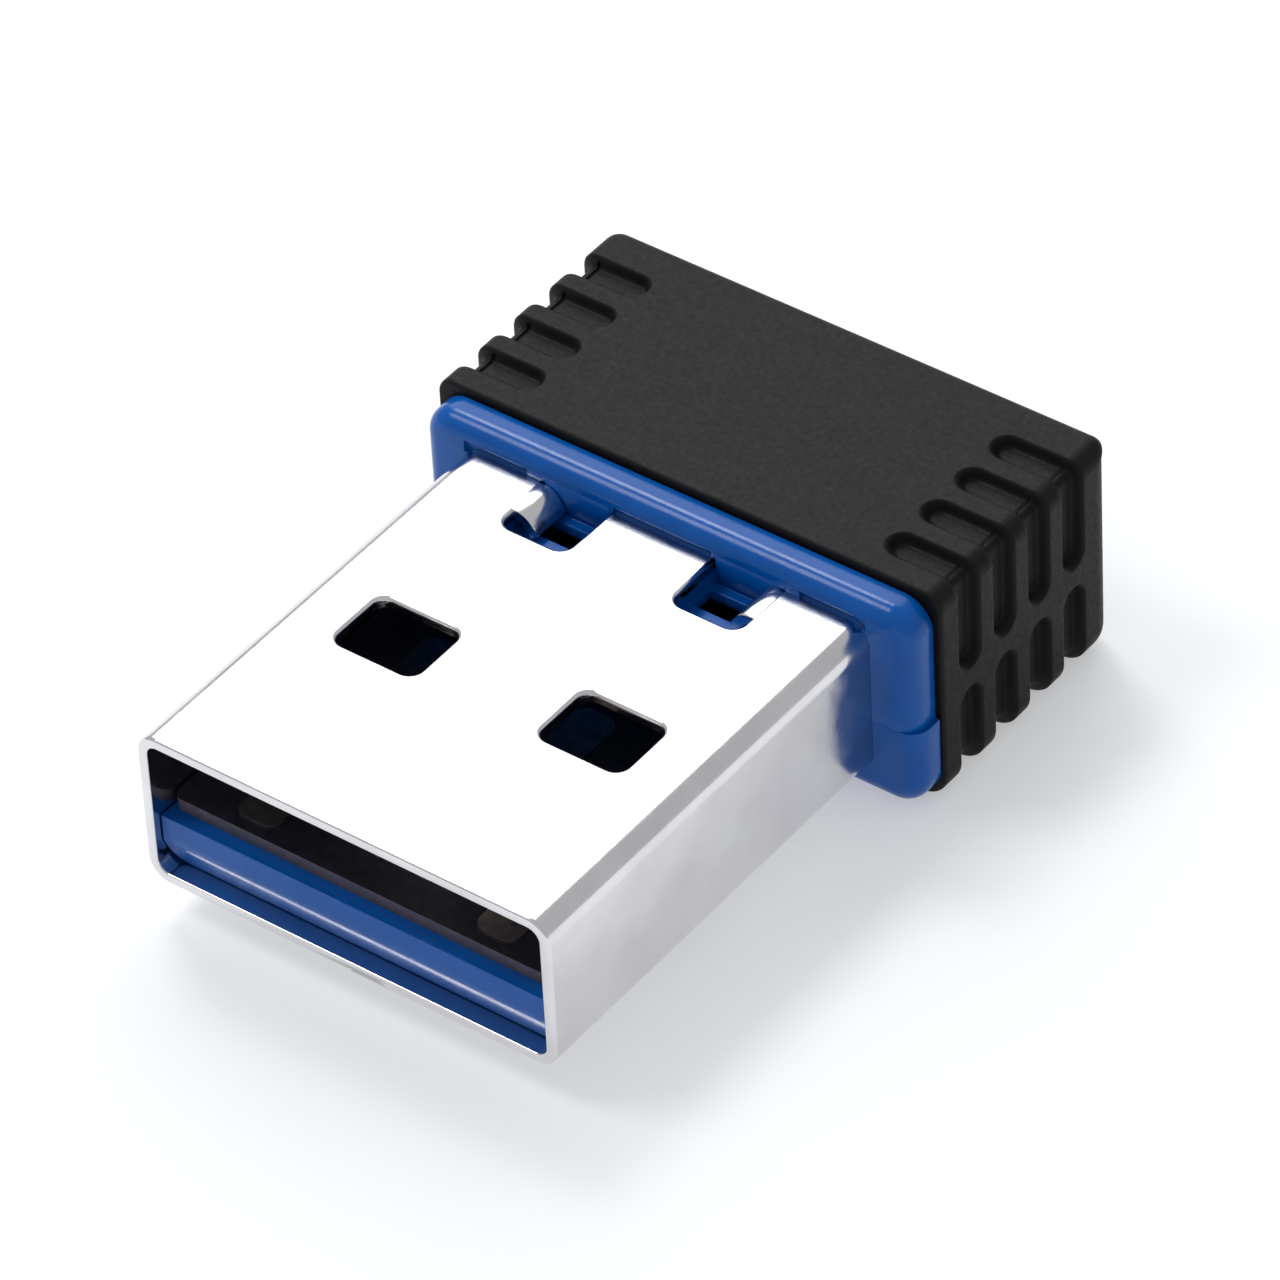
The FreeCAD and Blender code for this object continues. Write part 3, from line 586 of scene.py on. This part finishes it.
def upper_carrier(material):
    ring = cut(collar_half("upper_ring", upper_high[0], upper_high[2], ring_split), entry_cutters())
    flange, ridge = flange_half(1)
    slot = block("slot", (-SPLIT_STEP_X, SPLIT_STEP_X), (0, 2 * FLANGE_END_Y),
                 (ring_split - GAP, board_high[2] + GAP))
    parts = [notch_filler(-1), notch_filler(1), softened(ring, EDGE_ROUND), block_over_board(),
             cut(flange, [slot]), ridge]
    carrier = joined("upper_carrier_visual", parts)
    shaded(carrier, material)
    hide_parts("upper_carrier")
    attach(carrier, "root")


def tongue():
    """Bar under the board, with the chip's pocket and a nose that is cut back below."""
    front = lower_low[1]
    low = SHEET + GAP - shell_top
    bar = rounded_bar("tongue", TONGUE_HALF, (low, board_low[2]), (front, FLANGE_END_Y),
                      TONGUE_BOTTOM_ROUND, SMALL_ROUND)
    under_nose = [(front - GAP, NOSE_LOW_Z), (front, NOSE_LOW_Z), (front + NOSE_SET_BACK, low - GAP),
                  (front - GAP, low - GAP)]
    rows = [[(x, y, z) for y, z in under_nose] for x in (-shell_half, shell_half)]
    cut(bar, [grid_object("under_nose", np.array(rows), False, True),
              block("pocket", (-CHIP_POCKET_HALF, CHIP_POCKET_HALF), CHIP_POCKET_Y,
                    (CHIP_POCKET_FLOOR_Z, 0))])
    return softened(bar, TONGUE_TOP_ROUND, NOSE_TURN)


def lower_ring():
    """Lower half of the collar: an upper half turned over."""
    ring = collar_half("lower_ring", lower_high[0], -lower_low[2], -ring_split)
    ring.data.transform(Matrix.Scale(-1, 4, Vector((0, 0, 1))))
    ring.data.flip_normals()
    return softened(ring, EDGE_ROUND)


def rail_and_peg(side):
    """Rail under the board's wide rear, and the peg beside the shell's rear end."""
    under = board_low[2]
    rail = block("rail", mirrored(RAIL_X, side), (FLANGE_END_Y, RAIL_END_Y), (under - RAIL_DEPTH, under))
    circle = arc(side * PEG_X, PEG_Y, PEG_RADIUS, 0, 2 * math.pi, PEG_SIDES)[:-1]
    return [rail, prism("peg", circle, under - PEG_ROOT, PEG_TOP_Z, 2)]


def lower_carrier(material):
    parts = [lower_ring(), tongue()] + flange_half(-1) + rail_and_peg(-1) + rail_and_peg(1)
    carrier = joined("lower_carrier_visual", parts)
    shaded(carrier, material)
    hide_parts("lower_carrier")
    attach(carrier, "root")


# ---------------------------------------------------------------- rear cap

def graded(low, high, fine_spans, fine, coarse):
    """Positions from low to high, closely spaced inside the fine spans."""
    places = [low]
    while places[-1] < high - TINY:
        here = places[-1]
        inside = any(start - fine <= here <= end for start, end in fine_spans)
        places.append(min(here + (fine if inside else coarse), high))
    return np.array(places)


def smooth_step(value):
    """Eased share: 0 up to 0, 1 from 1 on."""
    value = np.clip(value, 0, 1)
    return value * value * (3 - 2 * value)


def groove_depths(run, groove_end, y):
    """Depth of the finger grooves at each run along the section and each y. run is measured
    from the middle of the top or bottom, outwards and round the edge."""
    start = GROOVE_INNER_X + GROOVE_RADIUS
    beyond = np.maximum(np.maximum(start - run, run - groove_end), 0)[None, :]
    depth = np.zeros((len(y), len(run)))
    for number in range(GROOVE_COUNT):
        offset = (y - GROOVE_FIRST_Y - number * GROOVE_PITCH)[:, None]
        distance = np.hypot(beyond, offset)
        towards_rear = 0.5 + 0.5 * offset / np.maximum(distance, TINY)
        wall = GENTLE_WALL + (STEEP_WALL - GENTLE_WALL) * smooth_step(towards_rear)
        depth = np.maximum(depth, smooth_step((GROOVE_RADIUS - distance) / wall))
    return depth * GROOVE_DEPTH


def cap_section(inset, across, down):
    """Outline of the cap, inset all round; inset is one number or (side, top, bottom)."""
    side, top, bottom = (inset, inset, inset) if np.isscalar(inset) else inset
    return section(cap_high[0] - side, cap_low[2] + bottom, cap_high[2] - top,
                   max(CAP_LOW_CORNER - max(side, bottom), CAP_SMALLEST_CORNER),
                   max(CAP_TOP_CORNER - max(side, top), CAP_SMALLEST_CORNER), across, down)


def section_shares():
    """Shares of the cap's straight runs, close together at the grooves' round ends."""
    flat = cap_high[0] - CAP_TOP_CORNER
    end = (GROOVE_INNER_X - FINE_MARGIN, GROOVE_INNER_X + 2 * GROOVE_RADIUS)
    places = graded(0, flat, [end], FINE_STEP, COARSE_STEP)
    across = np.concatenate([-places[:0:-1], places]) / (2 * flat) + 0.5
    upper = cap_high[2] - CAP_TOP_CORNER
    lower = cap_low[2] + CAP_LOW_CORNER
    reach = GROOVE_RADIUS + 2 * FINE_MARGIN
    ends = (MID_RIB_Z[0] - reach, MID_RIB_Z[1] + reach)
    heights = graded(lower, upper, [ends], FINE_STEP, COARSE_STEP)
    down = (upper - heights[::-1]) / (upper - lower)
    return across[1:-1], down[1:-1]


def half_runs(outline):
    """Distance along the section from the middle of the top, outwards on either side."""
    steps = np.linalg.norm(np.diff(np.vstack([outline, outline[:1]]), axis=0), axis=1)
    travelled = np.concatenate([[0], np.cumsum(steps)[:-1]])
    middle = np.argmin(np.hypot(outline[:, 0], outline[:, 1] - outline[:, 1].max()))
    total = steps.sum()
    gone = np.abs(travelled - travelled[middle])
    return np.minimum(gone, total - gone), total / 2


def outward(outline):
    """Unit normals of a closed outline in X and Z."""
    ahead = np.roll(outline, -1, axis=0) - np.roll(outline, 1, axis=0)
    normal = np.column_stack([-ahead[:, 1], ahead[:, 0]])
    return normal / np.linalg.norm(normal, axis=1)[:, None]


def cap_body_rows(across, down):
    """Rows of the ribbed sides, from behind the front round to the start of the rear round."""
    outline = cap_section(0, across, down)
    from_top, half_way = half_runs(outline)
    from_bottom = half_way - from_top
    reach = GROOVE_RADIUS + FINE_MARGIN
    centres = [GROOVE_FIRST_Y + number * GROOVE_PITCH for number in range(GROOVE_COUNT)]
    y = graded(cap_low[1] + CAP_FRONT_ROUND, cap_high[1] - CAP_REAR_ROUND_SIDE - REAR_ROW_GAP,
               [(centre - reach, centre + reach) for centre in centres], FINE_STEP, COARSE_ROW_STEP)
    upper_end = (cap_high[0] + cap_high[2] - 2 * CAP_TOP_CORNER + CAP_TOP_CORNER * QUARTER_TURN
                 - MID_RIB_Z[1] - GROOVE_RADIUS)
    lower_end = (cap_high[0] - cap_low[2] - 2 * CAP_LOW_CORNER + CAP_LOW_CORNER * QUARTER_TURN
                 + MID_RIB_Z[0] - GROOVE_RADIUS)
    depth = groove_depths(from_top, upper_end, y) + groove_depths(from_bottom, lower_end, y)
    normal = outward(outline)
    rows = []
    for place, row_depth in zip(y, depth):
        rows.append(at_y(outline - normal * np.abs(row_depth)[:, None], place))
    return rows


def cap_rear_rows(across, down):
    """Rows round the rear edges, whose radius is smaller at the top than at the sides and bottom."""
    outline = cap_section(0, across, down)
    share = smooth_step((outward(outline)[:, 1] - TOP_BLEND[0]) / (TOP_BLEND[1] - TOP_BLEND[0]))
    radius = CAP_REAR_ROUND_SIDE + (CAP_REAR_ROUND_TOP - CAP_REAR_ROUND_SIDE) * share
    rows = []
    for inset, depth in quarter_steps(CAP_REAR_STEPS):
        side = CAP_REAR_ROUND_SIDE * inset
        ring = cap_section((side, CAP_REAR_ROUND_TOP * inset, side), across, down)
        rows.append(at_y(ring, cap_high[1] - radius * (1 - depth)))
    return rows


def rear_cap(material):
    across, down = section_shares()
    front = cap_low[1]
    rows = []
    for half, height, y in ((CAVITY_HALF, CAVITY_HALF_HEIGHT, CAVITY_END_Y),
                            (CAVITY_HALF, CAVITY_HALF_HEIGHT, SOCKET_END_Y),
                            (SOCKET_HALF, SOCKET_HALF_HEIGHT, SOCKET_END_Y),
                            (SOCKET_HALF, SOCKET_HALF_HEIGHT, front)):
        rows.append(at_y(section(half, -height, height, INNER_CORNER, INNER_CORNER, across, down), y))
    for inset, depth in quarter_steps(CAP_FRONT_STEPS)[:0:-1]:
        rows.append(at_y(cap_section(CAP_FRONT_ROUND * inset, across, down),
                         front + CAP_FRONT_ROUND * (1 - depth)))
    rows += cap_body_rows(across, down) + cap_rear_rows(across, down)
    cap = grid_object("rear_cap_visual", np.array(rows), False, True)
    shaded(cap, material)
    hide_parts("rear_cap")
    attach(cap, "root")


# ---------------------------------------------------------------- materials

def base_material(name, color, roughness, metallic=0.0, specular=0.5):
    """New material and its shader, with the values that are the same all over the surface."""
    material = bpy.data.materials.new(name)
    material.use_nodes = True
    shader = material.node_tree.nodes["Principled BSDF"]
    shader.inputs["Base Color"].default_value = (*color, 1)
    shader.inputs["Roughness"].default_value = roughness
    shader.inputs["Metallic"].default_value = metallic
    shader.inputs["Specular IOR Level"].default_value = specular
    return material, shader


def noise(material, size, detail):
    """Noise in object space whose blobs are about size millimetres across."""
    nodes = material.node_tree.nodes
    place = nodes.new("ShaderNodeTexCoord")
    texture = nodes.new("ShaderNodeTexNoise")
    texture.inputs["Scale"].default_value = 1 / (size * MM)
    texture.inputs["Detail"].default_value = detail
    material.node_tree.links.new(place.outputs["Object"], texture.inputs["Vector"])
    return texture.outputs["Fac"]


def streaks(material, width, length, detail):
    """Noise in object space that changes quickly along X and slowly along Y and Z."""
    nodes = material.node_tree.nodes
    links = material.node_tree.links
    place = nodes.new("ShaderNodeTexCoord")
    stretch = nodes.new("ShaderNodeVectorMath")
    stretch.operation = "MULTIPLY"
    stretch.inputs[1].default_value = (1 / (width * MM), 1 / (length * MM), 1 / (length * MM))
    texture = nodes.new("ShaderNodeTexNoise")
    texture.inputs["Scale"].default_value = 1.0
    texture.inputs["Detail"].default_value = detail
    links.new(place.outputs["Object"], stretch.inputs[0])
    links.new(stretch.outputs["Vector"], texture.inputs["Vector"])
    return texture.outputs["Fac"]


def ramp(material, value, low, high, span=CLOUD_SPAN):
    """Colour between low and high, as the value crosses the span."""
    node = material.node_tree.nodes.new("ShaderNodeValToRGB")
    for element, place, color in zip(node.color_ramp.elements, span, (low, high)):
        element.position = place
        element.color = (*color, 1)
    material.node_tree.links.new(value, node.inputs["Fac"])
    return node.outputs["Color"]


def spread(material, value, low, high):
    """Number between low and high, as the value crosses the cloud span."""
    node = material.node_tree.nodes.new("ShaderNodeMapRange")
    node.inputs["From Min"].default_value = CLOUD_SPAN[0]
    node.inputs["From Max"].default_value = CLOUD_SPAN[1]
    node.inputs["To Min"].default_value = low
    node.inputs["To Max"].default_value = high
    material.node_tree.links.new(value, node.inputs["Value"])
    return node.outputs["Result"]


def bump(material, height, depth, normal=None):
    """Relief of the given depth in millimetres."""
    node = material.node_tree.nodes.new("ShaderNodeBump")
    node.inputs["Distance"].default_value = depth * MM
    material.node_tree.links.new(height, node.inputs["Height"])
    if normal:
        material.node_tree.links.new(normal, node.inputs["Normal"])
    return node.outputs["Normal"]


def shell_steel():
    """Bright nickel plating with faint clouds and handling haze."""
    material, shader = base_material("shell_steel", SHELL_LIGHT, roughness=0.16, metallic=1.0)
    links = material.node_tree.links
    cloud = noise(material, size=1.6, detail=4)
    haze = noise(material, size=0.5, detail=4)
    relief = bump(material, noise(material, size=0.09, detail=2), depth=0.0012)
    links.new(ramp(material, cloud, SHELL_DARK, SHELL_LIGHT), shader.inputs["Base Color"])
    links.new(spread(material, haze, low=0.12, high=0.21), shader.inputs["Roughness"])
    links.new(relief, shader.inputs["Normal"])
    return material


def carrier_plastic():
    """Glossy blue with faint tool marks that run across the collar's front edge."""
    material, shader = base_material("carrier_plastic", BLUE_LIGHT, roughness=0.2, specular=0.24)
    links = material.node_tree.links
    cloud = noise(material, size=1.2, detail=3)
    haze = noise(material, size=0.4, detail=3)
    marks = bump(material, streaks(material, width=0.07, length=0.8, detail=2), depth=0.003)
    relief = bump(material, noise(material, size=0.3, detail=2), depth=0.0012, normal=marks)
    links.new(ramp(material, cloud, BLUE_DARK, BLUE_LIGHT), shader.inputs["Base Color"])
    links.new(spread(material, haze, low=0.16, high=0.23), shader.inputs["Roughness"])
    links.new(relief, shader.inputs["Normal"])
    return material


def cap_plastic():
    """Matt black with a fine leather-like moulded grain."""
    material, shader = base_material("cap_plastic", CAP_LIGHT, roughness=0.5, specular=0.12)
    links = material.node_tree.links
    cloud = noise(material, size=0.6, detail=4)
    haze = noise(material, size=0.15, detail=2)
    leather = bump(material, noise(material, size=0.16, detail=2), depth=0.005)
    grain = bump(material, noise(material, size=0.07, detail=1), depth=0.007, normal=leather)
    links.new(ramp(material, cloud, CAP_DARK, CAP_LIGHT), shader.inputs["Base Color"])
    links.new(spread(material, haze, low=0.44, high=0.56), shader.inputs["Roughness"])
    links.new(grain, shader.inputs["Normal"])
    return material


def board_laminate():
    """Black solder mask on the faces and bare grey laminate on the cut edges."""
    material, shader = base_material("board_laminate", MASK_LIGHT, roughness=0.35)
    nodes = material.node_tree.nodes
    links = material.node_tree.links
    mask = ramp(material, noise(material, size=0.25, detail=3), MASK_DARK, MASK_LIGHT, GRAIN_SPAN)
    bare = ramp(material, noise(material, size=0.1, detail=3), EDGE_DARK, EDGE_LIGHT, GRAIN_SPAN)
    weave = bump(material, noise(material, size=0.15, detail=2), depth=0.004)
    geometry = nodes.new("ShaderNodeNewGeometry")
    parts = nodes.new("ShaderNodeSeparateXYZ")
    levelness = nodes.new("ShaderNodeMath")
    levelness.operation = "ABSOLUTE"
    mix = nodes.new("ShaderNodeMixRGB")
    links.new(geometry.outputs["True Normal"], parts.inputs["Vector"])
    links.new(parts.outputs["Z"], levelness.inputs[0])
    links.new(levelness.outputs["Value"], mix.inputs["Fac"])
    links.new(bare, mix.inputs["Color1"])
    links.new(mask, mix.inputs["Color2"])
    links.new(mix.outputs["Color"], shader.inputs["Base Color"])
    links.new(weave, shader.inputs["Normal"])
    return material


def grained(name, low, high, roughness, metallic=0.0):
    """Fine two-tone grain for the small parts on the board."""
    material, shader = base_material(name, high, roughness, metallic)
    links = material.node_tree.links
    grain = noise(material, size=0.3, detail=3)
    relief = bump(material, noise(material, size=0.1, detail=2), depth=0.004)
    links.new(ramp(material, grain, low, high, GRAIN_SPAN), shader.inputs["Base Color"])
    links.new(relief, shader.inputs["Normal"])
    return material


def contact_gold():
    """Thin, dull plating on the contacts."""
    return grained("contact_gold", low=(0.40, 0.36, 0.36), high=(0.52, 0.46, 0.44),
                   roughness=0.3, metallic=1.0)


def solder():
    return grained("solder", low=(0.50, 0.51, 0.53), high=(0.70, 0.71, 0.73),
                   roughness=0.35, metallic=1.0)


def chip_epoxy():
    return grained("chip_epoxy", low=(0.012, 0.012, 0.013), high=(0.03, 0.03, 0.032), roughness=0.55)


def crystal_can():
    return grained("crystal_can", low=(0.60, 0.59, 0.56), high=(0.78, 0.77, 0.74),
                   roughness=0.3, metallic=1.0)


def capacitor_ceramic():
    return grained("capacitor_ceramic", low=(0.36, 0.24, 0.13), high=(0.5, 0.36, 0.22), roughness=0.4)


def ferrite():
    return grained("ferrite", low=(0.05, 0.05, 0.054), high=(0.10, 0.10, 0.105), roughness=0.6)


def resistor_ceramic():
    return grained("resistor_ceramic", low=(0.02, 0.02, 0.022), high=(0.05, 0.05, 0.055),
                   roughness=0.35)


def filter_ceramic():
    return grained("filter_ceramic", low=(0.62, 0.62, 0.58), high=(0.78, 0.78, 0.74), roughness=0.45)


def trace_copper():
    return grained("trace_copper", low=(0.25, 0.15, 0.07), high=(0.45, 0.28, 0.13),
                   roughness=0.35, metallic=1.0)


def dress_board():
    """New materials in the slots of the CAD nodes that stay as they are."""
    finishes = {
        "board_laminate": board_laminate(),
        "contact_gold": contact_gold(),
        "solder": solder(),
        "chip_epoxy": chip_epoxy(),
        "crystal_can": crystal_can(),
        "capacitor_ceramic": capacitor_ceramic(),
        "ferrite": ferrite(),
        "resistor_ceramic": resistor_ceramic(),
        "filter_ceramic": filter_ceramic(),
        "trace_copper": trace_copper(),
    }
    for part in frame["record"]["subparts"]:
        if part["material_slot"] in finishes:
            dress(frame["nodes"][part["node"]].data, finishes[part["material_slot"]])


# ---------------------------------------------------------------- stage, light and camera

def floor_finish():
    """Pale matt paper that glows a little, so that it stays nearly white."""
    material, shader = base_material("floor", FLOOR_LIGHT, roughness=0.7, specular=0.2)
    shader.inputs["Emission Color"].default_value = (*FLOOR_GLOW_COLOR, 1)
    shader.inputs["Emission Strength"].default_value = FLOOR_GLOW
    clouds = ramp(material, noise(material, size=8.0, detail=2), FLOOR_DARK, FLOOR_LIGHT, (0.0, 1.0))
    material.node_tree.links.new(clouds, shader.inputs["Base Color"])
    return material


def floor():
    reach = (-FLOOR_REACH * MM, FLOOR_REACH * MM)
    corners = [(x, y, cad_box[0].z) for y in reach for x in reach]
    mesh = bpy.data.meshes.new("floor")
    mesh.from_pydata(corners, [], [(0, 1, 3, 2)])
    mesh.materials.append(floor_finish())
    plane = bpy.data.objects.new("floor", mesh)
    bpy.context.scene.collection.objects.link(plane)


def softbox(name, direction, distance, size, power):
    """Square area light that looks at the object from a direction. Sizes are in metres."""
    light = bpy.data.lights.new(name, "AREA")
    light.shape = "SQUARE"
    light.size = size
    light.energy = power
    lamp = bpy.data.objects.new(name, light)
    towards = Vector(direction).normalized()
    lamp.location = towards * distance
    lamp.rotation_mode = "QUATERNION"
    lamp.rotation_quaternion = towards.to_track_quat("Z", "Y")
    bpy.context.scene.collection.objects.link(lamp)


def studio():
    """Even pale surroundings, a large box behind and two narrow ones that stripe the edges."""
    world = bpy.data.worlds.new("studio")
    world.use_nodes = True
    background = world.node_tree.nodes["Background"]
    background.inputs["Color"].default_value = (*WORLD_COLOR, 1)
    background.inputs["Strength"].default_value = WORLD_STRENGTH
    bpy.context.scene.world = world
    softbox("rear_left_box", (-0.47, 0.59, 0.66), distance=0.5, size=0.4, power=1.0)
    softbox("upper_stripe_box", (-0.47, 0.30, 0.82), distance=0.6, size=0.14, power=0.8)
    softbox("lower_stripe_box", (-0.47, -0.26, 0.84), distance=0.6, size=0.18, power=0.9)
    bpy.context.scene.view_settings.view_transform = "Standard"


def camera():
    """Long lens over the plug's right front corner, with a slight roll."""
    back = Vector((math.sin(AZIMUTH) * math.cos(ELEVATION), -math.cos(AZIMUTH) * math.cos(ELEVATION),
                   math.sin(ELEVATION)))
    data = bpy.data.cameras.new("camera")
    data.lens = LENS
    data.sensor_width = SENSOR_WIDTH
    data.clip_start = NEAR_CLIP
    data.clip_end = FAR_CLIP
    eye = bpy.data.objects.new("camera", data)
    eye.rotation_mode = "QUATERNION"
    turn = (-back).to_track_quat("-Z", "Y").to_matrix() @ Matrix.Rotation(ROLL, 3, "Z")
    eye.rotation_quaternion = turn.to_quaternion()
    eye.location = (Vector(AIM) + back * DISTANCE) * MM
    bpy.context.scene.collection.objects.link(eye)
    bpy.context.scene.camera = eye


# ---------------------------------------------------------------- the scene

shell_low, shell_high = node_box("plug_shell")
shell_half = shell_high[0]
shell_top = shell_high[2]
upper_low, upper_high = node_box("upper_carrier")
lower_low, lower_high = node_box("lower_carrier")
board_low, board_high = node_box("circuit_board")
cap_low, cap_high = node_box("rear_cap")
ring_split = upper_low[2]

plug_shell(shell_steel())
blue = carrier_plastic()
upper_carrier(blue)
lower_carrier(blue)
rear_cap(cap_plastic())
dress_board()
floor()
studio()
camera()
